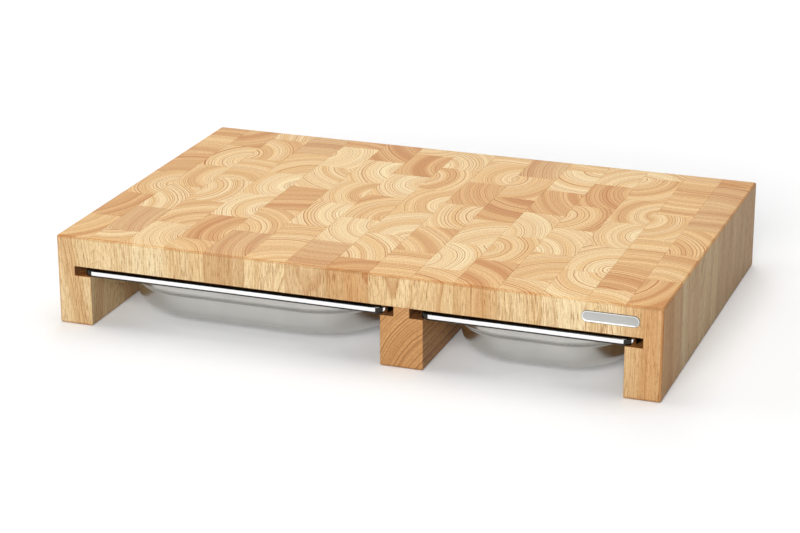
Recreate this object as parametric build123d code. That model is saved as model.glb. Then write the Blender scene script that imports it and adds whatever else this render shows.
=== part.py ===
from build123d import *
import os

# An end-grain chopping board on two legs and a centre runner, with two pressed
# steel trays that hang by their rims in grooves under the board and slide out
# to the front and to the back.
# Millimetres. X runs along the front, Y runs to the back, Z is up.
# The origin is on the floor, under the middle of the board.

# trays: one deep-drawn sheet each, with a turned-down rim
tray_length = 325.0
wide_tray_width = 265.0
narrow_tray_width = 176.0
tray_depth = 41.0
sheet = 0.8
rim_height = 6.5
rim_corner_radius = 13.0
rim_bend_radius = 2.0
rim_return = 3.2
lip_bend_radius = 1.8
flange_width = 12.0
mouth_bend_radius = 2.0
wide_mouth_corner_radius = 70.0
narrow_mouth_corner_radius = 55.0
upper_wall_height = 15.5
ledge_inset = 5.5
ledge_drop = 5.0
ledge_bend_radius = 3.0
wall_lean = 3.0
floor_bend_radius = 11.0

# board: thickness of the end-grain slab and the wood round the grooves
slab_thickness = 25.0
board_height = 75.0
leg_thickness = 29.0
groove_depth = 14.0
neck_thickness = 13.0
runner_groove_depth = 11.0

# fits between a tray's rim and its grooves
rim_rest_gap = 0.1
rim_headroom = 1.4
rim_side_clearance = 4.0

# staves of the slab and the end-grain blocks glued up in each of them
stave_width = 34.6
block_length = 61.4
first_block_length = 59.0
shortest_block = 12.0

# rounded outside edges of the wood
edge_rounding = 1.8

# blank name plate on the front edge of the slab
badge_length = 45.0
badge_height = 9.0
badge_thickness = 0.9
badge_border = 0.9
badge_panel_depth = 0.3
badge_from_side = 40.3

# places that follow from the sizes above
side_wall = leg_thickness - groove_depth
wide_bay = wide_tray_width + 2 * rim_side_clearance
narrow_bay = narrow_tray_width + 2 * rim_side_clearance
board_width = 2 * side_wall + wide_bay + neck_thickness + narrow_bay
board_depth = tray_length
half_width = board_width / 2
half_depth = board_depth / 2
slab_bottom = board_height - slab_thickness
groove_floor = slab_bottom - rim_headroom - rim_height - rim_rest_gap
rim_bottom = groove_floor + rim_rest_gap
rim_top = rim_bottom + rim_height
wide_bay_start = -half_width + side_wall
neck_start = wide_bay_start + wide_bay
narrow_bay_start = neck_start + neck_thickness
wide_tray_x = wide_bay_start + wide_bay / 2
narrow_tray_x = narrow_bay_start + narrow_bay / 2
runner_start = neck_start - runner_groove_depth


def box_between(low, high):
    size = [end - start for start, end in zip(low, high)]
    return Pos(*low) * Box(*size, align=Align.MIN)


def groove_cut(start, end):
    return box_between((start, -half_depth, groove_floor), (end, half_depth, slab_bottom))


def rounded_envelope():
    block = box_between((-half_width, -half_depth, 0), (half_width, half_depth, board_height))
    return fillet(block.edges(), edge_rounding)


def stave_edges():
    # whole staves fill the middle, and the two beside the legs are trimmed alike
    inner_width = board_width - 2 * leg_thickness
    whole_count = int(inner_width // stave_width) - 1
    trimmed_width = (inner_width - whole_count * stave_width) / 2
    first_whole = -half_width + leg_thickness + trimmed_width
    edges = [-half_width, -half_width + leg_thickness]
    edges += [first_whole + index * stave_width for index in range(whole_count + 1)]
    edges += [half_width - leg_thickness, half_width]
    return edges


def block_seams(stave_index):
    # neighbouring staves are shifted by half a block, as in a brick wall
    length = first_block_length - (stave_index % 2) * block_length / 2
    seams = [-half_depth]
    while length < board_depth - shortest_block:
        seams.append(-half_depth + length)
        length += block_length
    seams.append(half_depth)
    return seams


def leg_stave(start, end, groove_start, groove_end):
    leg = box_between((start, -half_depth, 0), (end, half_depth, board_height))
    long_foot_edges = leg.edges().filter_by(Axis.Y).group_by(Axis.Z)[0]
    inner_foot_edge = long_foot_edges.sort_by(lambda edge: abs(edge.center().X))[0]
    leg = fillet(inner_foot_edge, edge_rounding)
    return leg - groove_cut(groove_start, groove_end)


def slab_stave(start, end):
    return box_between((start, -half_depth, slab_bottom), (end, half_depth, board_height))


def cut_into_blocks(stave, stave_index, envelope):
    seams = block_seams(stave_index)
    box = stave.bounding_box()
    blocks = []
    for front, back in zip(seams, seams[1:]):
        cell = box_between((box.min.X, front, box.min.Z), (box.max.X, back, box.max.Z))
        blocks += (stave & cell & envelope).solids()
    return blocks


def centre_runner():
    runner_end = narrow_bay_start + runner_groove_depth
    runner = box_between((runner_start, -half_depth, 0), (runner_end, half_depth, slab_bottom))
    runner = fillet(runner.faces().sort_by(Axis.Z)[0].edges(), edge_rounding)
    return runner - groove_cut(runner_start, neck_start) - groove_cut(narrow_bay_start, runner_end)


def sheet_section(points, radii):
    # a bent strip of sheet metal, drawn as distance inward against height
    line = FilletPolyline(*points, radius=radii)
    return make_face(offset(line, amount=sheet, side=Side.LEFT).edges())


def carried_round(section, width, corner_radius):
    # carries a section round a rounded rectangle: four straight runs and four bends
    pieces = []
    for quarter in range(4):
        across = width if quarter % 2 == 0 else tray_length
        along = tray_length if quarter % 2 == 0 else width
        run = along - 2 * corner_radius
        side = Plane(origin=(across / 2, -run / 2, 0), x_dir=(-1, 0, 0), z_dir=(0, 1, 0))
        bend_axis = Axis((across / 2 - corner_radius, run / 2, 0), (0, 0, 1))
        start_face = side * section
        straight = extrude(start_face, run, dir=(0, 1, 0))
        bend = revolve(Pos(0, run, 0) * start_face, bend_axis, 90)
        pieces += [Rot(0, 0, 90 * quarter) * straight, Rot(0, 0, 90 * quarter) * bend]
    return pieces


def flat_plate(width, inset, corner_radius, height):
    outline = RectangleRounded(width - 2 * inset, tray_length - 2 * inset, corner_radius)
    return Pos(0, 0, height) * extrude(outline, sheet)


def tray_rim(width):
    points = [
        (flange_width / 2 + sheet, rim_top),
        (0, rim_top),
        (0, rim_bottom),
        (rim_return, rim_bottom),
    ]
    radii = [rim_bend_radius, lip_bend_radius]
    return carried_round(sheet_section(points, radii), width, rim_corner_radius)


def tray_flange(width, mouth_radius):
    outer_inset = flange_width / 2
    hole_inset = flange_width - mouth_bend_radius - sheet
    height = rim_top - sheet
    plate = flat_plate(width, outer_inset, rim_corner_radius - outer_inset, height)
    return plate - flat_plate(width, hole_inset, mouth_radius + flange_width - hole_inset, height)


def tray_basin(width, mouth_radius):
    basin_floor = rim_top - tray_depth
    ledge_top = rim_top - upper_wall_height
    lower_wall_inset = flange_width + ledge_inset
    floor_edge_inset = lower_wall_inset + wall_lean
    floor_inset = floor_edge_inset + floor_bend_radius
    points = [
        (flange_width - mouth_bend_radius - 2 * sheet, rim_top - sheet),
        (flange_width, rim_top - sheet),
        (flange_width, ledge_top),
        (lower_wall_inset, ledge_top - ledge_drop),
        (floor_edge_inset, basin_floor),
        (floor_inset + 2 * sheet, basin_floor),
    ]
    radii = [mouth_bend_radius - sheet, ledge_bend_radius, ledge_bend_radius, floor_bend_radius]
    corner = flange_width + mouth_radius
    walls = carried_round(sheet_section(points, radii), width, corner)
    return walls + [flat_plate(width, floor_inset, corner - floor_inset, basin_floor)]


def tray(width, mouth_radius, centre_x):
    body = Part() + tray_rim(width) + tray_basin(width, mouth_radius)
    body += tray_flange(width, mouth_radius)
    return Pos(centre_x, 0, 0) * body


def badge():
    front = Plane(
        origin=(half_width - badge_from_side, -half_depth, board_height - slab_thickness / 2),
        x_dir=(1, 0, 0),
        z_dir=(0, -1, 0),
    )
    panel_length = badge_length - 2 * badge_border
    panel_height = badge_height - 2 * badge_border
    plate = extrude(SlotOverall(badge_length, badge_height), badge_thickness)
    panel = extrude(SlotOverall(panel_length, panel_height), badge_panel_depth)
    return front * (plate - Pos(0, 0, badge_thickness - badge_panel_depth) * panel)


def board_staves():
    envelope = rounded_envelope()
    edges = stave_edges()
    last = len(edges) - 2
    staves = {}
    for index, (start, end) in enumerate(zip(edges, edges[1:])):
        if index == 0:
            name = "left_leg_stave"
            stave = leg_stave(start, end, wide_bay_start, end)
        elif index == last:
            name = "right_leg_stave"
            stave = leg_stave(start, end, start, half_width - side_wall)
        else:
            name = f"slab_stave_{index:02d}"
            stave = slab_stave(start, end)
        staves[name] = Compound(cut_into_blocks(stave, index, envelope))
    return staves


nodes = board_staves()
nodes["centre_runner"] = centre_runner()
nodes["wide_tray"] = tray(wide_tray_width, wide_mouth_corner_radius, wide_tray_x)
nodes["narrow_tray"] = tray(narrow_tray_width, narrow_mouth_corner_radius, narrow_tray_x)
nodes["name_plate"] = badge()

os.makedirs("parts", exist_ok=True)
for name, shape in nodes.items():
    export_step(shape, f"parts/{name}.step")
    print(name, len(shape.solids()), "solids", round(shape.volume), "mm3")
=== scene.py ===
import math
import random

import bmesh
import bpy
from mathutils import Matrix, Vector


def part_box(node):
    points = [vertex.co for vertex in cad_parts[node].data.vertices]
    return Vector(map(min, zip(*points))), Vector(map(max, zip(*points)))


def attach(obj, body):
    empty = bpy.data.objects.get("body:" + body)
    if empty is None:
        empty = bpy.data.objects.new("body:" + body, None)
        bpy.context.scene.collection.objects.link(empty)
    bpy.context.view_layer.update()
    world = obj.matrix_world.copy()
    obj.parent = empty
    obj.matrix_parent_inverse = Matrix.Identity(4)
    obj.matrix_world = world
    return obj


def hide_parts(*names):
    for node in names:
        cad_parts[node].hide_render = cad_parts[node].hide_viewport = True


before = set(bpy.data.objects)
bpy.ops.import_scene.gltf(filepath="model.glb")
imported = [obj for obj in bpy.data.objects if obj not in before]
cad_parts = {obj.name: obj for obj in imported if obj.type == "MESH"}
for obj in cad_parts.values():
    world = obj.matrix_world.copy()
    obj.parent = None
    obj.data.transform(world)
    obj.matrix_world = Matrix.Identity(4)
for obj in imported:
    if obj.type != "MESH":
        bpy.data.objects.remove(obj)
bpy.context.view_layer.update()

# Metres. X runs along the front, Y runs to the back, Z is up.
# The corners of the CAD pieces, which the sizes below follow.
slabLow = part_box("slab_stave_01")[0]
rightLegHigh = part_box("right_leg_stave")[1]
runnerLow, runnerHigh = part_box("centre_runner")
wideLow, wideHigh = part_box("wide_tray")
narrowLow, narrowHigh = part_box("narrow_tray")
plateLow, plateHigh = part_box("name_plate")


# node helpers
def srgb(red, green, blue):
    channels = [value / 255 for value in (red, green, blue)]
    return [c / 12.92 if c <= 0.04045 else ((c + 0.055) / 1.055) ** 2.4 for c in channels] + [1.0]


def addNode(tree, kind, inputs=None, **settings):
    made = tree.nodes.new(kind)
    for key, value in settings.items():
        setattr(made, key, value)
    for key, value in (inputs or {}).items():
        if isinstance(value, bpy.types.NodeSocket):
            tree.links.new(value, made.inputs[key])
        else:
            made.inputs[key].default_value = value
    return made


def calc(tree, operation, a, b=None, clamp=False):
    inputs = {0: a} if b is None else {0: a, 1: b}
    return addNode(tree, "ShaderNodeMath", inputs, operation=operation, use_clamp=clamp).outputs[0]


def vectorCalc(tree, operation, a, b=None, output=0):
    inputs = {0: a} if b is None else {0: a, 1: b}
    return addNode(tree, "ShaderNodeVectorMath", inputs, operation=operation).outputs[output]


def scaled(tree, vector, factor):
    inputs = {0: vector, "Scale": factor}
    return addNode(tree, "ShaderNodeVectorMath", inputs, operation="SCALE").outputs[0]


def separate(tree, vector):
    return addNode(tree, "ShaderNodeSeparateXYZ", {0: vector}).outputs


def noise(tree, vector, scale, detail, roughness=0.5, output="Fac"):
    inputs = {"Vector": vector, "Scale": scale, "Detail": detail, "Roughness": roughness}
    return addNode(tree, "ShaderNodeTexNoise", inputs).outputs[output]


def stretchedNoise(tree, position, stretch, detail, roughness=0.5):
    return noise(tree, vectorCalc(tree, "MULTIPLY", position, stretch), 1, detail, roughness)


def noiseAlong(tree, position, scale):
    inputs = {"W": position, "Scale": scale, "Detail": 1.0}
    return addNode(tree, "ShaderNodeTexNoise", inputs, noise_dimensions="1D").outputs["Fac"]


def remap(tree, value, low, high, newLow=0.0, newHigh=1.0, smooth=True):
    inputs = {"Value": value, "From Min": low, "From Max": high, "To Min": newLow, "To Max": newHigh}
    kind = "SMOOTHSTEP" if smooth else "LINEAR"
    return addNode(tree, "ShaderNodeMapRange", inputs, interpolation_type=kind).outputs[0]


def blend(tree, factor, a, b, mode="MIX"):
    mix = addNode(tree, "ShaderNodeMix", {0: factor, 6: a, 7: b}, data_type="RGBA", blend_type=mode)
    return mix.outputs[2]


def shaded(tree, colour, red, green, blue):
    # a colour multiplied channel by channel
    shade = addNode(tree, "ShaderNodeCombineColor", {0: red, 1: green, 2: blue}).outputs[0]
    return blend(tree, 1.0, colour, shade, "MULTIPLY")


def newGroup(name, inputs, outputs):
    group = bpy.data.node_groups.new(name, "ShaderNodeTree")
    for label, kind in inputs.items():
        group.interface.new_socket(label, in_out="INPUT", socket_type=kind)
    for label in outputs:
        group.interface.new_socket(label, in_out="OUTPUT", socket_type="NodeSocketFloat")
    return group, group.nodes.new("NodeGroupInput").outputs, group.nodes.new("NodeGroupOutput").inputs


def placeGroup(tree, group, inputs):
    return addNode(tree, "ShaderNodeGroup", inputs, node_tree=group).outputs


def newMaterial(name):
    material = bpy.data.materials.new(name)
    material.use_nodes = True
    tree = material.node_tree
    position = addNode(tree, "ShaderNodeTexCoord").outputs["Object"]
    return material, tree, tree.nodes["Principled BSDF"].inputs, position


def addBump(tree, shader, height, strength, distance):
    bump = addNode(tree, "ShaderNodeBump", {"Height": height, "Strength": strength, "Distance": distance})
    tree.links.new(bump.outputs[0], shader["Normal"])


# growth rings round a heart that runs along Z with a slight lean
ringSizes = {
    "oval": 1.28,               # rings are a little taller than wide
    "waves": ((22.0, 0.0042), (210.0, 0.0008)),     # scale and size of the slow sway and the ripple
    "waveDetail": 1.5,
    "waveStretch": (1, 1, 0.15),    # the waves change slowly along the grain
    "unevenScale": 150.0,
    "uneven": 1.15,
    "coarse": (0.45, 1.5),      # where in a ring it starts to darken, and how rare a dark ring is
    "fine": (0.25, 0.8),
    "fineRings": 2.6,           # fine rings to each coarse one
    "fineShare": 0.6,
    "darkest": 0.93,
    "fallStart": 0.94,
    "faintest": 0.1,
    "bandScale": 62.0,
    "bandRange": (0.32, 0.68),
    "rayTurn": 28.0,            # rays are narrow round the heart and long away from it
    "rayLength": 60.0,
    "rayScale": 4.0,
}


def ringLine(tree, ring, seed, softStart, rarity):
    # each ring darkens slowly and ends sharply, some far more than others
    part = calc(tree, "FRACT", ring)
    number = calc(tree, "ADD", calc(tree, "FLOOR", ring), seed)
    chance = addNode(tree, "ShaderNodeTexWhiteNoise", {"W": number}, noise_dimensions="1D").outputs["Value"]
    rise = calc(tree, "POWER", remap(tree, part, softStart, ringSizes["darkest"]), 2.0)
    fall = remap(tree, part, ringSizes["fallStart"], 1.0, 1.0, 0.0)
    rare = calc(tree, "POWER", chance, rarity)
    strength = remap(tree, rare, 0, 1, ringSizes["faintest"], 1.0, smooth=False)
    return calc(tree, "MULTIPLY", calc(tree, "MULTIPLY", rise, fall), strength)


def makeRingFigure():
    inputs = dict.fromkeys(("Position", "Heart", "Lean", "Drift"), "NodeSocketVector")
    inputs["Gap"] = "NodeSocketFloat"
    group, start, end = newGroup("ringFigure", inputs, ("Line", "Band", "Ray", "Radius"))
    position, drift = start["Position"], start["Drift"]
    lean = scaled(group, start["Lean"], separate(group, position)["Z"])
    centre = vectorCalc(group, "ADD", start["Heart"], lean)
    offset = vectorCalc(group, "SUBTRACT", position, centre)
    drifted = vectorCalc(group, "MULTIPLY", position, ringSizes["waveStretch"])
    drifted = vectorCalc(group, "ADD", drifted, drift)
    for scale, amount in ringSizes["waves"]:
        cloud = noise(group, drifted, scale, ringSizes["waveDetail"], output="Color")
        wave = vectorCalc(group, "SUBTRACT", cloud, (0.5,) * 3)
        offset = vectorCalc(group, "ADD", offset, vectorCalc(group, "MULTIPLY", wave, (amount,) * 3))
    flat = vectorCalc(group, "MULTIPLY", offset, (ringSizes["oval"], 1, 0))
    radius = vectorCalc(group, "LENGTH", flat, output=1)
    seeds = separate(group, drift)
    shifted = calc(group, "ADD", radius, seeds["X"])
    uneven = noiseAlong(group, shifted, ringSizes["unevenScale"])
    uneven = calc(group, "MULTIPLY", uneven, ringSizes["uneven"])
    ring = calc(group, "ADD", calc(group, "DIVIDE", radius, start["Gap"]), uneven)
    fineRing = calc(group, "MULTIPLY", ring, ringSizes["fineRings"])
    coarse = ringLine(group, ring, seeds["Y"], *ringSizes["coarse"])
    fine = ringLine(group, fineRing, seeds["Z"], *ringSizes["fine"])
    line = calc(group, "ADD", coarse, calc(group, "MULTIPLY", fine, ringSizes["fineShare"]), clamp=True)
    band = remap(group, noiseAlong(group, shifted, ringSizes["bandScale"]), *ringSizes["bandRange"])
    sides = separate(group, flat)
    angle = calc(group, "ARCTAN2", sides["Y"], sides["X"])
    polar = {"X": calc(group, "MULTIPLY", angle, ringSizes["rayTurn"])}
    polar["Y"] = calc(group, "MULTIPLY", radius, ringSizes["rayLength"])
    around = addNode(group, "ShaderNodeCombineXYZ", polar).outputs[0]
    ray = noise(group, around, ringSizes["rayScale"], 2)
    for label, value in (("Line", line), ("Band", band), ("Ray", ray), ("Radius", radius)):
        group.links.new(value, end[label])
    return group


# short dark vessel marks and pale fibre streaks that run along Z, as scales across and along
poreSizes = {
    "dash": (1900.0, 1900.0, 110.0),
    "patch": (60.0, 60.0, 22.0),
    "fibre": (900.0, 900.0, 16.0),
    "streak": (190.0, 95.0, 5.0),
    "sparse": 0.66,         # higher leaves fewer pores
    "patchDepth": 0.2,
    "sharpness": 8.0,
    "streakShare": 0.4,
}


def makePoreDashes():
    inputs = {"Position": "NodeSocketVector", "Amount": "NodeSocketFloat"}
    group, start, end = newGroup("poreDashes", inputs, ("Pores", "Fibre"))
    position = start["Position"]
    dashes = stretchedNoise(group, position, poreSizes["dash"], 1.5)
    patches = stretchedNoise(group, position, poreSizes["patch"], 2)
    level = calc(group, "MULTIPLY", patches, poreSizes["patchDepth"])
    level = calc(group, "SUBTRACT", poreSizes["sparse"], level)
    deep = calc(group, "SUBTRACT", dashes, level)
    deep = calc(group, "MULTIPLY", deep, poreSizes["sharpness"], clamp=True)
    fine = stretchedNoise(group, position, poreSizes["fibre"], 3, 0.6)
    streaks = stretchedNoise(group, position, poreSizes["streak"], 2)
    fibre = addNode(group, "ShaderNodeMix", {0: poreSizes["streakShare"], 2: fine, 3: streaks}).outputs[0]
    group.links.new(calc(group, "MULTIPLY", deep, start["Amount"]), end["Pores"])
    group.links.new(fibre, end["Fibre"])
    return group


ringFigure = makeRingFigure()
poreDashes = makePoreDashes()

blockWood = {
    "pale": srgb(250, 229, 180),
    "honey": srgb(236, 198, 138),
    "brown": srgb(205, 147, 84),
    "dark": srgb(92, 58, 32),
    "grey": srgb(202, 168, 128),
    "line": srgb(176, 96, 18),
    "pore": srgb(156, 94, 40),
    "lineStrength": 1.1,
    "bandDepth": 0.34,
    "heavyBand": 0.08,
    "grain": 0.27,
}
sideWood = dict(blockWood, pale=srgb(251, 235, 193), honey=srgb(239, 210, 160), brown=srgb(210, 160, 106))
sideWood.update({"lineStrength": 0.9, "grain": 0.12})
runnerWood = {
    "pale": srgb(230, 186, 130),
    "honey": srgb(214, 164, 108),
    "brown": srgb(192, 136, 84),
    "dark": srgb(84, 52, 28),
    "grey": srgb(196, 156, 116),
    "line": srgb(140, 84, 42),
    "pore": srgb(122, 74, 38),
    "lineStrength": 1.05,
    "bandDepth": 0.16,
    "heavyBand": 0.0,
    "grain": 0.16,
}
# what all the woods share
woodFinish = {
    "outerRadius": 0.05,
    "outward": (-0.1, 0.08),    # paler at the heart and deeper outside
    "heavyStart": 0.85,
    "mottle": (760, 2, 0.6),    # scale, detail and roughness
    "mottleRange": (0.25, 0.75),
    "grainLift": 0.8,
    "rayRange": (0.3, 0.7),
    "rayShade": (-0.07, 0.06),
    "fibreRange": (0.36, 0.64),
    "fibreShade": (-0.16, 0.11),
    "warmRed": 0.7,             # darker fibres are warmer too
    "warmBlue": 1.5,
    "roughRange": (0.2, 0.8),
    "roughness": (0.46, 0.6),
    "gloss": 0.22,
    "poreDent": 2.0,
    "dent": 0.15,
    "mottleHeight": 0.5,
    "bump": (0.25, 0.00015),    # strength and distance
}
woodLayers = ("heart", "lean", "drift", "tone")


def woodDepth(tree, figure, ownTone, wood, lineShare):
    # how deep the colour is: the block's own tone, its broad bands and its distance from the heart
    banding = calc(tree, "SUBTRACT", figure["Band"], 0.5)
    banding = calc(tree, "MULTIPLY", banding, wood["bandDepth"] * lineShare)
    outerRadius = woodFinish["outerRadius"]
    outward = remap(tree, figure["Radius"], 0, outerRadius, *woodFinish["outward"], smooth=False)
    heavy = remap(tree, figure["Band"], woodFinish["heavyStart"], 1.0, 0.0, wood["heavyBand"] * lineShare)
    return calc(tree, "ADD", calc(tree, "ADD", ownTone, banding), calc(tree, "ADD", outward, heavy))


def woodMaterial(name, wood, poreAmount, lineShare=1.0, alongY=False):
    material, tree, shader, position = newMaterial(name)
    if alongY:
        parts = separate(tree, position)
        turned = {"X": parts["X"], "Y": parts["Z"], "Z": parts["Y"]}
        position = addNode(tree, "ShaderNodeCombineXYZ", turned).outputs[0]
    stored = {}
    for label in woodLayers:
        stored[label] = addNode(tree, "ShaderNodeAttribute", attribute_name=label).outputs["Vector"]
    tone = separate(tree, stored["tone"])
    figureInputs = {"Position": position, "Heart": stored["heart"], "Lean": stored["lean"]}
    figureInputs.update({"Gap": tone["Z"], "Drift": stored["drift"]})
    figure = placeGroup(tree, ringFigure, figureInputs)
    dashes = placeGroup(tree, poreDashes, {"Position": position, "Amount": poreAmount})
    depth = woodDepth(tree, figure, tone["X"], wood, lineShare)
    # depths past 1, in the grooves' painted shade and at the seams of deeper blocks, blend into the dark
    # colour
    colour = wood["pale"]
    for deeper, start, end in (("honey", 0, 0.5), ("brown", 0.5, 1), ("dark", 1, 2)):
        colour = blend(tree, remap(tree, depth, start, end, smooth=False), colour, wood[deeper])
    colour = blend(tree, tone["Y"], colour, wood["grey"])
    lines = calc(tree, "MULTIPLY", figure["Line"], wood["lineStrength"] * lineShare)
    colour = blend(tree, lines, colour, wood["line"])
    mottle = noise(tree, position, *woodFinish["mottle"])
    mottleShade = (1 - wood["grain"], 1 + wood["grain"] * woodFinish["grainLift"])
    shade = remap(tree, mottle, *woodFinish["mottleRange"], *mottleShade, smooth=False)
    rays = remap(tree, figure["Ray"], *woodFinish["rayRange"], *woodFinish["rayShade"])
    shade = calc(tree, "ADD", shade, rays)
    if poreAmount > 0:
        fibreShade = woodFinish["fibreRange"] + woodFinish["fibreShade"]
        shade = calc(tree, "ADD", shade, remap(tree, dashes["Fibre"], *fibreShade, smooth=False))
    red = calc(tree, "POWER", shade, woodFinish["warmRed"])
    blue = calc(tree, "POWER", shade, woodFinish["warmBlue"])
    colour = shaded(tree, colour, red, shade, blue)
    colour = blend(tree, dashes["Pores"], colour, wood["pore"])
    tree.links.new(colour, shader["Base Color"])
    rough = remap(tree, mottle, *woodFinish["roughRange"], *woodFinish["roughness"])
    tree.links.new(rough, shader["Roughness"])
    shader["Specular IOR Level"].default_value = woodFinish["gloss"]
    dents = calc(tree, "ADD", lines, calc(tree, "MULTIPLY", dashes["Pores"], woodFinish["poreDent"]))
    dents = calc(tree, "MULTIPLY", dents, woodFinish["dent"])
    relief = calc(tree, "SUBTRACT", calc(tree, "MULTIPLY", mottle, woodFinish["mottleHeight"]), dents)
    addBump(tree, shader, relief, *woodFinish["bump"])
    return material


endGrain = woodMaterial("endGrainWood", blockWood, 0.0)
sideGrain = woodMaterial("sideGrainWood", sideWood, 0.7, lineShare=0.55)
runnerEnd = woodMaterial("runnerEndGrain", runnerWood, 0.0, alongY=True)
runnerSide = woodMaterial("runnerLongGrain", runnerWood, 0.6, alongY=True)
print("wood materials made")


# mesh helpers
def touches(value, target):
    return abs(value - target) < 1e-5


def vertsOf(items):
    return [item for item in items if isinstance(item, bmesh.types.BMVert)]


def edgesOf(items):
    return [item for item in items if isinstance(item, bmesh.types.BMEdge)]


def finishPiece(bm, name, materials, body, nodes, sharpAngle=35):
    mesh = bpy.data.meshes.new(name)
    bm.to_mesh(mesh)
    bm.free()
    mesh.shade_smooth()
    mesh.set_sharp_from_angle(angle=math.radians(sharpAngle))
    for material in materials:
        mesh.materials.append(material)
    piece = bpy.data.objects.new(name, mesh)
    bpy.context.scene.collection.objects.link(piece)
    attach(piece, body)
    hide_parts(*nodes)
    return piece


def extrudeOutline(outline, front, back):
    # an outline in X and Z carried from front to back
    bm = bmesh.new()
    face = bm.faces.new([bm.verts.new((x, front, z)) for x, z in outline])
    made = bmesh.ops.extrude_face_region(bm, geom=[face])
    bmesh.ops.translate(bm, verts=vertsOf(made["geom"]), vec=(0, back - front, 0))
    bmesh.ops.recalc_face_normals(bm, faces=bm.faces)
    return bm


# the board: outside edges are rounded, and a fine groove marks each glue seam
board = {
    "halfWidth": rightLegHigh.x,
    "halfDepth": rightLegHigh.y,
    "height": rightLegHigh.z,
    "slabBottom": slabLow.z,
    "grooveDepth": 0.014,
    "grooveHeight": 0.008,
    "grooveMargin": 0.002,      # faces nearer to the outside than this aren't in a groove
    "edgeRounding": 0.0018,
    "edgeSteps": 4,
    "seamChamfer": 0.00014,
    "seamAngle": 1.0,           # radians; only sharper edges get the fine groove
    "endGrainTilt": 0.7,        # how squarely a face must cross the grain to count as end grain
    "blockLength": 0.0614,
    "firstBlockLength": 0.059,
    "shortestBlock": 0.012,
    "heartReach": 1.3,
    "leanSpread": 0.12,
    "leftLegLean": (-0.22, 0.0, 0),     # of its front block, whose front face shows the lean
    "toneSpread": 0.06,
    "ringGap": (0.0022, 0.0039),
    "driftReach": 9,
    "ringSeeds": 900,
    "seed": 11,
}
bevelSettings = {"affect": "EDGES", "profile": 0.5, "material": -1, "clamp_overlap": True}
plainFace, roundedFace, seamFace, grooveFace = 0, 1, 2, 3
# how much deeper each kind of face is coloured; in the grooves this is painted shade, as if they lay in
# shadow
faceDarkeningAndPaintedShade = {plainFace: 0.0, roundedFace: 0.3, seamFace: 0.5, grooveFace: 1.0}


def isOutsideEdge(edge, footEdges):
    middle = (edge.verts[0].co + edge.verts[1].co) / 2
    sides = [touches(abs(middle.x), board["halfWidth"]), touches(abs(middle.y), board["halfDepth"])]
    sides.append(touches(middle.z, board["height"]) or touches(middle.z, 0))
    inner = touches(middle.z, 0) and any(touches(middle.x, x) for x in footEdges)
    return sum(sides) >= 2 or inner


def isGroove(face):
    # the floor, wall and roof of the grooves that the tray rims run in
    middle = face.calc_center_median()
    roof = board["slabBottom"]
    low = roof - board["grooveHeight"]
    between = low < middle.z < roof or touches(middle.z, low) or touches(middle.z, roof)
    inside = abs(middle.x) < board["halfWidth"] - board["grooveMargin"]
    return between and inside and abs(face.normal.y) < 0.5


def roundEdges(bm, footEdges):
    # until setWood runs, a face's material number says what kind of face it is
    # the groove faces are marked here for their painted shade
    for face in filter(isGroove, bm.faces):
        face.material_index = grooveFace
    chosen = [edge for edge in bm.edges if isOutsideEdge(edge, footEdges)]
    size = {"offset": board["edgeRounding"], "segments": board["edgeSteps"]}
    for face in bmesh.ops.bevel(bm, geom=chosen, **size, **bevelSettings)["faces"]:
        face.material_index = roundedFace
    closed = [edge for edge in bm.edges if len(edge.link_faces) == 2]
    sharp = [edge for edge in closed if edge.calc_face_angle() > board["seamAngle"]]
    size = {"offset": board["seamChamfer"], "segments": 1}
    for face in bmesh.ops.bevel(bm, geom=sharp, **size, **bevelSettings)["faces"]:
        face.material_index = seamFace


def setWood(bm, wood, endNormalAxis):
    # the grain of each block is stored on its faces, where the wood materials read it
    layers = {label: bm.faces.layers.float_vector.new(label) for label in woodLayers}
    for face in bm.faces:
        for label, layer in layers.items():
            face[layer] = wood[label]
        # painted shade: groove faces get a much deeper tone here; seams and rounded edges get some too
        face[layers["tone"]] = wood["tone"] + Vector((faceDarkeningAndPaintedShade[face.material_index], 0, 0))
        face.material_index = 0 if abs(face.normal[endNormalAxis]) > board["endGrainTilt"] else 1
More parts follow.
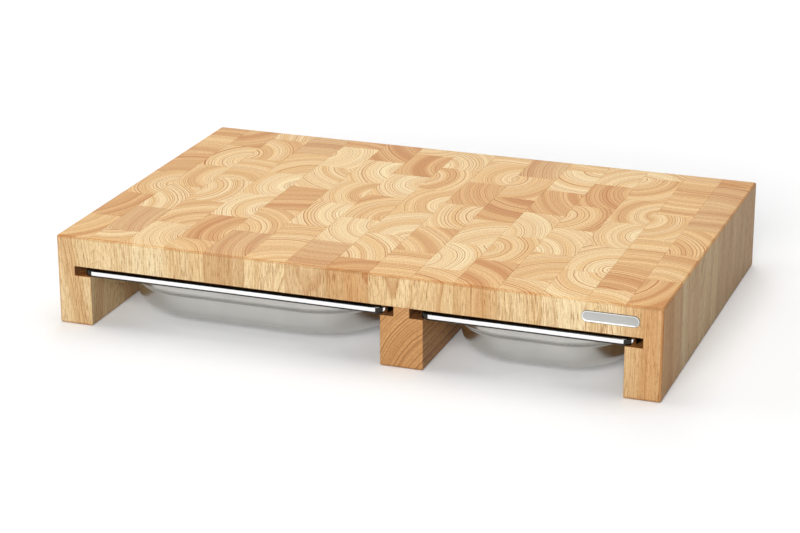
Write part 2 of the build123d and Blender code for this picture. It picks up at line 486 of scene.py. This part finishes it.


# Where the heart of the log lay for each block, read from the photograph: one row
# for each stave from left to right, one entry for each block from front to back.
# Across and along the stave, an edge of the block is at 1 and its middle at 0.
# The letter is the wood: p pale, h honey, b brown or g greyish.
blockHearts = [
    "-1.5 0.6 h, -3.0 0.6 b, 1.0 0.1 h, 0.8 -1.6 b, 0.2 -3.0 h, 0.3 -4.0 b",
    "-0.6 1.2 p, 4.0 0.3 g, -1.5 -0.8 p, 1.2 0.1 h, 0.9 -0.2 h, -1.2 1.0 b",
    "1.3 0.2 p, 1.0 -1.0 h, -1.1 0.0 p, -0.3 -1.3 h, -1.0 -0.5 h, -2.5 -0.5 p",
    "-1.2 -1.2 h, 1.8 -0.1 b, 0.9 -0.1 p, 1.0 0.1 p, 0.8 -0.9 h, 0.2 -4.0 g",
    "3.0 0.3 g, -1.1 -0.9 h, 1.5 -5.0 b, 1.5 1.3 p, -1.0 0.1 p, -0.5 -2.0 b",
    "0.9 -1.3 h, 0.4 -2.2 h, 1.4 0.4 p, 1.1 0.1 h, 1.2 0.3 p, 2.0 1.5 b",
    "0.3 4.0 g, 1.2 0.6 p, 1.0 -0.5 h, 0.8 0.3 p, 1.6 0.2 b, -0.6 0.8 h",
    "0.8 -1.5 b, -1.8 -1.2 p, 0.9 -0.9 p, 1.0 -0.1 h, -1.1 0.0 h, -1.2 -0.6 p",
    "0.2 -4.0 h, -2.5 -2.0 h, 1.3 0.3 p, 2.2 0.7 b, 1.0 -0.2 h, 0.0 -3.0 p",
    "-1.0 -2.0 h, -1.1 -0.3 p, 1.2 -1.2 p, 1.2 2.6 b, -1.0 0.5 h, 2.5 0.3 g",
    "-1.5 -1.5 b, -0.9 -0.1 h, -1.2 -0.7 p, 3.0 1.5 b, 0.6 1.0 p, 0.6 2.0 h",
    "-1.0 -1.6 h, 1.0 -1.2 h, -1.2 -0.9 p, -1.0 0.0 h, 1.7 0.5 b, 1.2 -0.8 p",
    "1.0 0.9 p, 0.8 -0.5 p, 1.0 0.1 p, 1.0 -0.1 h, -0.9 0.6 h, -1.0 -1.5 p",
    "-0.5 -1.2 h, -0.6 -2.0 b, 0.2 -4.0 h, -1.0 0.3 h, 0.4 4.0 h, 0.2 3.0 h",
    "-2.0 0.6 b, -0.5 -1.3 h, -1.6 -0.9 h, 0.2 -4.0 g, -0.5 -2.0 g, -1.0 -2.0 b",
]
# depth and greyness of each wood
woodTones = {"p": (0.2, 0.0), "h": (0.43, 0.0), "b": (0.7, 0.0), "g": (0.58, 0.32)}


def staveNames():
    slabs = sorted(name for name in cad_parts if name.startswith("slab_stave_"))
    return ["left_leg_stave"] + slabs + ["right_leg_stave"]


def blockSeams(index):
    # neighbouring staves are shifted by half a block
    length = board["firstBlockLength"] - (index % 2) * board["blockLength"] / 2
    seams = [-board["halfDepth"]]
    while length < 2 * board["halfDepth"] - board["shortestBlock"]:
        seams.append(length - board["halfDepth"])
        length += board["blockLength"]
    return seams + [board["halfDepth"]]


def staveOutline(name, low, high):
    top, under = board["height"], board["slabBottom"]
    grooveFloor = under - board["grooveHeight"]
    if name not in ("left_leg_stave", "right_leg_stave"):
        return [(low.x, under), (high.x, under), (high.x, top), (low.x, top)]
    inward = 1 if name == "left_leg_stave" else -1
    outside, inside = (low.x, high.x) if inward > 0 else (high.x, low.x)
    wall = inside - inward * board["grooveDepth"]
    outline = [(outside, 0), (inside, 0), (inside, grooveFloor), (wall, grooveFloor)]
    return outline + [(wall, under), (inside, under), (inside, top), (outside, top)]


def blockGrain(entry, centre, halfSize, lean, chance):
    across, along, shade = entry.split()
    depth, grey = woodTones[shade]
    leanSpread, toneSpread, seeds = board["leanSpread"], board["toneSpread"], board["ringSeeds"]
    ownLean = (chance.uniform(-leanSpread, leanSpread), chance.uniform(-leanSpread, leanSpread), 0)
    lean = Vector(ownLean) + lean
    reach = Vector((float(across) * halfSize.x, float(along) * halfSize.y, 0)) * board["heartReach"]
    drift = (chance.uniform(0, board["driftReach"]), chance.randint(0, seeds), chance.randint(0, seeds))
    tone = (depth + chance.uniform(-toneSpread, toneSpread), grey, chance.uniform(*board["ringGap"]))
    # the heart is placed on the top, from where it leans downward
    heart = centre + reach - lean * board["height"]
    return {"heart": heart, "lean": lean, "drift": Vector(drift), "tone": Vector(tone)}


def makeStave(index, name):
    low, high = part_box(name)
    outline = staveOutline(name, low, high)
    seams = blockSeams(index)
    entries = blockHearts[index % len(blockHearts)].split(", ")
    chance = random.Random(board["seed"] * 100 + index)
    footEdges = [x for x, z in outline if z == 0]
    halfSize = Vector(((high.x - low.x) / 2, board["blockLength"] / 2, 0))
    stave = bmesh.new()
    holder = bpy.data.meshes.new("holder")
    for row, (front, back) in enumerate(zip(seams, seams[1:])):
        block = extrudeOutline(outline, front, back)
        roundEdges(block, footEdges)
        centre = Vector(((low.x + high.x) / 2, (front + back) / 2, 0))
        lean = Vector(board["leftLegLean"] if index == 0 and row == 0 else (0, 0, 0))
        setWood(block, blockGrain(entries[row % len(entries)], centre, halfSize, lean, chance), 2)
        block.to_mesh(holder)
        block.free()
        stave.from_mesh(holder)
    bpy.data.meshes.remove(holder)
    finishPiece(stave, "blocks_" + name, [endGrain, sideGrain], "board", [name])


for index, name in enumerate(staveNames()):
    makeStave(index, name)
print("end-grain blocks made")


# centre runner, with its grain along the bar
runner = {
    "grooveDepth": 0.011,
    "heart": Vector((0.098, -0.040, 0)),    # across and up, under the right foot corner
    "lean": Vector((0.02, 0.01, 0)),
    "drift": Vector((3.1, 40, 22)),
    "tone": Vector((0.58, 0.0, 0.0046)),    # depth, greyness and ring spacing
}


def makeRunner():
    under = board["slabBottom"]
    grooveFloor = under - board["grooveHeight"]
    left, right = runnerLow.x, runnerHigh.x
    neckLeft, neckRight = left + runner["grooveDepth"], right - runner["grooveDepth"]
    outline = [(left, 0), (right, 0), (right, grooveFloor), (neckRight, grooveFloor), (neckRight, under)]
    outline += [(neckLeft, under), (neckLeft, grooveFloor), (left, grooveFloor)]
    bm = extrudeOutline(outline, runnerLow.y, runnerHigh.y)
    roundEdges(bm, (left, right))
    setWood(bm, runner, 1)
    finishPiece(bm, "runnerBar", [runnerEnd, runnerSide], "board", ["centre_runner"])


makeRunner()
print("centre runner made")


# steel: fine scratches that run level, and soft smudges
steelFinish = {
    "scratchStretch": (0.05, 0.05, 1),
    "scratchNoise": (3, 0.6),       # detail and roughness
    "smudgeNoise": (28, 3, 0.55),   # scale, detail and roughness
    "noiseRange": (0.3, 0.7),
    "smudgeTint": (0.94, 1.03),
    "roughSpread": (0.85, 1.2),
    "bumpDistance": 0.00005,
}
traySteel = {
    "colour": srgb(200, 199, 195),
    "roughness": 0.22,
    "fineness": 1800.0,
    "scratch": 0.02,
    "shadedWallHeights": (0.029, 0.042),
    "wallPaintedShade": (1.02, 0.74),      # painted shade: the wall darkens towards the rim as if in the rim's shadow, and is a little lighter at the ledge and below
}
rimSteel = {"colour": srgb(251, 251, 251), "roughness": 0.06, "fineness": 2600.0, "scratch": 0.02}
# painted shade: a dark steel standing in for the dark reflections on the rim's bends and the shade at the
# plate's edge
paintedShadeFinish = {"colour": srgb(60, 58, 55), "roughness": 0.2, "fineness": 2600.0, "scratch": 0.03}
plateMetal = {"colour": srgb(226, 226, 224), "roughness": 0.36, "fineness": 5200.0, "scratch": 0.05}
plateShade = {"colour": srgb(184, 184, 182), "roughness": 0.36, "fineness": 3000.0, "scratch": 0.3}


def makeBrushMarks():
    inputs = {"Position": "NodeSocketVector", "Fineness": "NodeSocketFloat"}
    group, start, end = newGroup("brushMarks", inputs, ("Marks", "Smudge"))
    along = vectorCalc(group, "MULTIPLY", start["Position"], steelFinish["scratchStretch"])
    marks = noise(group, scaled(group, along, start["Fineness"]), 1, *steelFinish["scratchNoise"])
    smudge = noise(group, start["Position"], *steelFinish["smudgeNoise"])
    group.links.new(marks, end["Marks"])
    group.links.new(smudge, end["Smudge"])
    return group


brushMarks = makeBrushMarks()


def steelMaterial(name, steel):
    material, tree, shader, position = newMaterial(name)
    brushed = placeGroup(tree, brushMarks, {"Position": position, "Fineness": steel["fineness"]})
    tint = remap(tree, brushed["Smudge"], *steelFinish["noiseRange"], *steelFinish["smudgeTint"])
    # painted shade: the basin wall is darkened towards the rim, as if in the rim's shadow
    if "shadedWallHeights" in steel:
        height = separate(tree, position)["Z"]
        wall = remap(tree, height, *steel["shadedWallHeights"], *steel["wallPaintedShade"], smooth=False)
        tint = calc(tree, "MULTIPLY", tint, wall)
    tree.links.new(shaded(tree, steel["colour"], tint, tint, tint), shader["Base Color"])
    roughness = [steel["roughness"] * share for share in steelFinish["roughSpread"]]
    rough = remap(tree, brushed["Marks"], *steelFinish["noiseRange"], *roughness)
    tree.links.new(rough, shader["Roughness"])
    shader["Metallic"].default_value = 1.0
    addBump(tree, shader, brushed["Marks"], steel["scratch"], steelFinish["bumpDistance"])
    return material


basinSteel = steelMaterial("satinTraySteel", traySteel)
polishedSteel = steelMaterial("polishedRimSteel", rimSteel)
paintedShadeSteel = steelMaterial("paintedShadeMetal", paintedShadeFinish)
badgeMetal = steelMaterial("satinPlateMetal", plateMetal)
badgePanel = steelMaterial("stippledPlatePanel", plateShade)
print("steel materials made")


# trays, drawn from one sheet each
tray = {
    "sheet": 0.0008,
    "margin": 0.000002,     # keeps rounding errors inside the CAD box
    "rimHeight": 0.0065,
    "rimCorner": 0.013,
    "rimBend": 0.002,
    "lipBend": 0.0018,
    "rimReturn": 0.0032,
    "flangeWidth": 0.012,
    "wideMouthCorner": 0.070,
    "narrowMouthCorner": 0.055,
    "mouthBend": 0.0012,
    "upperWall": 0.0155,
    "ledgeInset": 0.0055,
    "ledgeDrop": 0.005,
    "ledgeBend": 0.003,
    "wallLean": 0.003,
    "floorBend": 0.011,
    "cornerSteps": 20,
    "rimSteps": 6,
    "wallSteps": 8,
    "bendStart": 0.3,       # how far a rim face may tilt before it gets the painted dark reflection
    "lipTilt": 3.0,         # the lip and the round corners count as bends sooner
    "cornerTilt": 2.0,
    "sharpAngle": 50,
}
basinFace, rimFace, paintedReflectionFace = 0, 1, 2


def bentLine(points, radii, steps):
    # a chain of straight runs with each inner corner turned into an arc
    points = [Vector(point) for point in points]
    line = [points[0]]
    for before, corner, after, radius in zip(points, points[1:], points[2:], radii):
        incoming = (before - corner).normalized()
        outgoing = (after - corner).normalized()
        halfAngle = incoming.angle(outgoing) / 2
        trim = radius / math.tan(halfAngle)
        centre = corner + (incoming + outgoing).normalized() * (radius / math.sin(halfAngle))
        start = corner + incoming * trim - centre
        turn = start.angle_signed(corner + outgoing * trim - centre)
        for step in range(steps + 1):
            line.append(centre + Matrix.Rotation(-turn * step / steps, 2) @ start)
    return line + [points[-1]]


def rimSection(under, lip):
    sheet = tray["sheet"]
    points = [(tray["rimReturn"], lip), (sheet, lip), (sheet, under), (tray["flangeWidth"] / 2, under)]
    return bentLine(points, [tray["lipBend"] - sheet, tray["rimBend"] - sheet], tray["rimSteps"])


def basinSection(under, ledgeTop, floor):
    sheet, flange = tray["sheet"], tray["flangeWidth"]
    lowerInset = flange + tray["ledgeInset"]
    floorInset = lowerInset + tray["wallLean"]
    flangeSeam = flange - tray["mouthBend"] - 3 * sheet
    points = [(flangeSeam, under), (flange, under), (flange, ledgeTop)]
    points += [(lowerInset, ledgeTop - tray["ledgeDrop"]), (floorInset, floor)]
    points.append((floorInset + tray["floorBend"] + sheet, floor))
    radii = [tray["mouthBend"], tray["ledgeBend"], tray["ledgeBend"], tray["floorBend"]]
    return bentLine(points, radii, tray["wallSteps"])


def carryRound(bm, section, width, length, corner):
    # the section, as distance inward against height, carried round a rounded rectangle
    run = length - 2 * corner
    edges = []
    last = None
    for inward, height in section:
        vert = bm.verts.new((width / 2 - inward, -run / 2, height))
        if last:
            edges.append(bm.edges.new((last, vert)))
        last = vert
    for side in range(4):
        across, along = (width, length) if side % 2 == 0 else (length, width)
        turned = Matrix.Rotation(math.pi / 2 * side, 3, "Z")
        run = along - 2 * corner
        made = bmesh.ops.extrude_edge_only(bm, edges=edges)["geom"]
        verts = vertsOf(made)
        bmesh.ops.translate(bm, verts=verts, vec=turned @ Vector((0, run, 0)))
        edges = [edge for edge in edgesOf(made) if set(edge.verts) <= set(verts)]
        pivot = turned @ Vector((across / 2 - corner, run / 2, 0))
        turn = {"cent": pivot, "axis": (0, 0, 1), "angle": math.pi / 2, "steps": tray["cornerSteps"]}
        edges = edgesOf(bmesh.ops.spin(bm, geom=edges + verts, **turn)["geom_last"])
    bmesh.ops.remove_doubles(bm, verts=bm.verts, dist=1e-6)


def closeTray(bm, under, floor):
    # the flange joins the rim to the basin, and the floor closes it; every face looks outward
    openEdges = [edge for edge in bm.edges if edge.is_boundary]
    flangeEdges = [edge for edge in openEdges if all(touches(vert.co.z, under) for vert in edge.verts)]
    floorEdges = [edge for edge in openEdges if touches(edge.verts[0].co.z, floor)]
    bmesh.ops.bridge_loops(bm, edges=flangeEdges)
    bmesh.ops.edgeloop_fill(bm, edges=floorEdges)
    bmesh.ops.recalc_face_normals(bm, faces=bm.faces)
    bm.faces.ensure_lookup_table()
    lowest = min(bm.faces, key=lambda face: face.calc_center_median().z)
    if lowest.normal.z > 0:
        bmesh.ops.reverse_faces(bm, faces=bm.faces)


def markRim(bm, width, length, rimBottom):
    # the rim is polished; its bends and round corners get a painted dark reflection, standing in for the
    # dark groove they face
    for face in bm.faces:
        middle = face.calc_center_median()
        inset = min(width / 2 - abs(middle.x), length / 2 - abs(middle.y))
        if inset < tray["flangeWidth"] / 2 and middle.z > rimBottom - tray["sheet"]:
            bend = max(-face.normal.z, face.normal.z * tray["lipTilt"])
            corner = min(abs(face.normal.x), abs(face.normal.y)) * tray["cornerTilt"]
            # painted reflection: these faces take the dark steel
            dark = inset < tray["rimReturn"] and max(bend, corner) > tray["bendStart"]
            face.material_index = paintedReflectionFace if dark else rimFace


def makeTray(name, node, low, high, mouthCorner):
    width, length = high.x - low.x - tray["margin"], high.y - low.y - tray["margin"]
    rimTop, rimBottom, floor = high.z, high.z - tray["rimHeight"], low.z
    sheet = tray["sheet"]
    under = rimTop - sheet
    # the underside of the sheet, which its thickness is added behind
    bm = bmesh.new()
    carryRound(bm, rimSection(under, rimBottom + sheet), width, length, tray["rimCorner"])
    basin = basinSection(under, rimTop - tray["upperWall"], floor)
    carryRound(bm, basin, width, length, tray["flangeWidth"] + mouthCorner)
    closeTray(bm, under, floor)
    markRim(bm, width, length, rimBottom)
    bmesh.ops.translate(bm, verts=bm.verts, vec=((low.x + high.x) / 2, (low.y + high.y) / 2, 0))
    steels = [basinSteel, polishedSteel, paintedShadeSteel]
    piece = finishPiece(bm, name, steels, node, [node], tray["sharpAngle"])
    wall = piece.modifiers.new("sheet", "SOLIDIFY")
    wall.thickness = sheet
    wall.offset = -1
    wall.use_even_offset = True


makeTray("wideTrayShell", "wide_tray", wideLow, wideHigh, tray["wideMouthCorner"])
makeTray("narrowTrayShell", "narrow_tray", narrowLow, narrowHigh, tray["narrowMouthCorner"])
print("trays made")


# bare name plate
plate = {
    "border": 0.0009,
    "panelDepth": 0.0003,
    "edgeRound": 0.00028,
    "edgeAngle": 0.5,       # radians; flatter edges aren't rounded
    "edgeSteps": 3,
    "outline": 0.00045,     # width of the turned-down edge, darkened with painted shade
    "segments": 64,
    "sharpAngle": 40,
}
borderFace, panelFace, outlineFace = 0, 1, 2


def makePlate():
    length, height = plateHigh.x - plateLow.x, plateHigh.z - plateLow.z
    thickness = plateHigh.y - plateLow.y
    bm = bmesh.new()
    halfStep = Matrix.Rotation(math.pi / plate["segments"], 4, "Z")
    circle = {"segments": plate["segments"], "radius": height / 2, "matrix": halfStep}
    bmesh.ops.create_circle(bm, cap_ends=True, **circle)
    for vert in bm.verts:
        vert.co.x += math.copysign((length - height) / 2, vert.co.x)
    made = bmesh.ops.extrude_face_region(bm, geom=list(bm.faces))
    bmesh.ops.translate(bm, verts=vertsOf(made["geom"]), vec=(0, 0, thickness))
    bmesh.ops.recalc_face_normals(bm, faces=bm.faces)
    front = max(bm.faces, key=lambda face: face.calc_center_median().z)
    bmesh.ops.inset_region(bm, faces=[front], thickness=plate["border"], depth=0)
    bmesh.ops.inset_region(bm, faces=[front], thickness=plate["panelDepth"], depth=-plate["panelDepth"])
    front.material_index = panelFace
    turned = [edge for edge in bm.edges if edge.calc_face_angle() > plate["edgeAngle"]]
    rounded = [edge for edge in turned if edge.verts[0].co.z > thickness / 2]
    size = {"offset": plate["edgeRound"], "segments": plate["edgeSteps"]}
    bmesh.ops.bevel(bm, geom=rounded, **size, **bevelSettings)
    for face in bm.faces:
        # painted shade: the turned-down outline of the plate is darkened
        middle = face.calc_center_median()
        past = max(abs(middle.x) - (length - height) / 2, 0)
        if math.hypot(past, middle.y) > height / 2 - plate["outline"]:
            face.material_index = outlineFace
    bmesh.ops.rotate(bm, verts=bm.verts, matrix=Matrix.Rotation(math.pi / 2, 3, "X"))
    place = Vector(((plateLow.x + plateHigh.x) / 2, plateHigh.y, (plateLow.z + plateHigh.z) / 2))
    bmesh.ops.translate(bm, verts=bm.verts, vec=place)
    metals = [badgeMetal, badgePanel, paintedShadeSteel]
    finishPiece(bm, "barePlate", metals, "board", ["name_plate"], plate["sharpAngle"])


makePlate()
print("name plate made")


# floor, light and camera
studio = {
    "floorSize": 14.0,
    "floorCells": 4,
    "floorColour": srgb(250, 250, 250),
    "bounce": 0.55,         # how much light the floor gives back to the wood
    "floorGlow": 0.085,     # seen directly only, so that the floor ends up white
    "farGlow": 0.4,
    "glowReach": (0.35, 0.9),
    "ambient": 0.05,
    "darkRoom": 0.06,
    "roomTurn": (0.0, 0.5),     # how far to the front the room starts and ends to darken
    "aim": (0, 0, 0.05),
}
# place, size and power of each soft box
lamps = {
    "topLamp": ((0.1, 0.3, 2.2), 2.2, 31.0),
    "frontLamp": ((0.4, -3.0, 1.3), 1.6, 83.0),
    "leftLamp": ((-2.4, -0.3, 1.3), 1.4, 12.0),
    "backLamp": ((-0.8, 2.2, 1.8), 1.6, 16.0),
}
view = {
    "place": (0.6243, -1.7545, 0.6939),
    "azimuth": 20.04,
    "downTilt": 19.81,
    "roll": -0.11,
    "focalPixels": 2367.1,
    "imageWidth": 800,
    "sensor": 36.0,
    "clipEnd": 50,
}


def seenDirectly(tree):
    path = addNode(tree, "ShaderNodeLightPath").outputs
    glossy = calc(tree, "MAXIMUM", path["Is Camera Ray"], path["Is Glossy Ray"])
    return calc(tree, "MAXIMUM", glossy, path["Is Transmission Ray"])


def makeFloor():
    bm = bmesh.new()
    cells = studio["floorCells"]
    bmesh.ops.create_grid(bm, x_segments=cells, y_segments=cells, size=studio["floorSize"] / 2)
    mesh = bpy.data.meshes.new("floor")
    bm.to_mesh(mesh)
    bm.free()
    floor = bpy.data.objects.new("floor", mesh)
    bpy.context.scene.collection.objects.link(floor)
    material = bpy.data.materials.new("studioFloor")
    material.use_nodes = True
    tree = material.node_tree
    tree.nodes.clear()
    direct = seenDirectly(tree)
    dull = [channel * studio["bounce"] for channel in studio["floorColour"][:3]] + [1]
    colour = blend(tree, direct, dull, studio["floorColour"])
    diffuse = addNode(tree, "ShaderNodeBsdfDiffuse", {"Color": colour})
    position = addNode(tree, "ShaderNodeTexCoord").outputs["Object"]
    distance = vectorCalc(tree, "LENGTH", position, output=1)
    glowLevel = remap(tree, distance, *studio["glowReach"], studio["floorGlow"], studio["farGlow"])
    glowStrength = calc(tree, "MULTIPLY", direct, glowLevel)
    glow = addNode(tree, "ShaderNodeEmission", {"Color": (1, 1, 1, 1), "Strength": glowStrength})
    both = addNode(tree, "ShaderNodeAddShader", {0: diffuse.outputs[0], 1: glow.outputs[0]})
    addNode(tree, "ShaderNodeOutputMaterial", {"Surface": both.outputs[0]})
    mesh.materials.append(material)


def makeLamp(name, place, size, power):
    lamp = bpy.data.lights.new(name, "AREA")
    lamp.energy = power
    lamp.size = size
    holder = bpy.data.objects.new(name, lamp)
    holder.location = place
    aim = Vector(studio["aim"]) - Vector(place)
    holder.rotation_euler = aim.to_track_quat("-Z", "Y").to_euler()
    bpy.context.scene.collection.objects.link(holder)


def makeWorld():
    world = bpy.data.worlds.new("studioWorld")
    world.use_nodes = True
    tree = world.node_tree
    background = tree.nodes["Background"].inputs
    background["Color"].default_value = (1, 1, 1, 1)
    direct = seenDirectly(tree)
    # the backdrop is white; the side of the room that the board faces is darker in reflections
    direction = addNode(tree, "ShaderNodeTexCoord").outputs["Generated"]
    forward = calc(tree, "MULTIPLY", separate(tree, direction)["Y"], -1)
    room = remap(tree, forward, *studio["roomTurn"], 1.0, studio["darkRoom"])
    path = addNode(tree, "ShaderNodeLightPath").outputs
    seen = calc(tree, "MAXIMUM", path["Is Camera Ray"], room)
    indirect = calc(tree, "MULTIPLY", calc(tree, "SUBTRACT", 1, direct), studio["ambient"])
    level = calc(tree, "ADD", indirect, calc(tree, "MULTIPLY", direct, seen))
    tree.links.new(level, background["Strength"])
    bpy.context.scene.world = world


def makeCamera():
    lens = bpy.data.cameras.new("camera")
    lens.sensor_width = view["sensor"]
    lens.lens = view["focalPixels"] * view["sensor"] / view["imageWidth"]
    lens.clip_end = view["clipEnd"]
    camera = bpy.data.objects.new("camera", lens)
    turn = Matrix.Rotation(math.radians(view["azimuth"]), 4, "Z")
    tilt = Matrix.Rotation(math.radians(90 - view["downTilt"]), 4, "X")
    roll = Matrix.Rotation(math.radians(view["roll"]), 4, "Z")
    camera.matrix_world = Matrix.Translation(view["place"]) @ turn @ tilt @ roll
    bpy.context.scene.collection.objects.link(camera)
    bpy.context.scene.camera = camera


makeFloor()
makeWorld()
for lampName, (place, size, power) in lamps.items():
    makeLamp(lampName, place, size, power)
makeCamera()
bpy.context.scene.view_settings.view_transform = "Standard"
print("studio made")
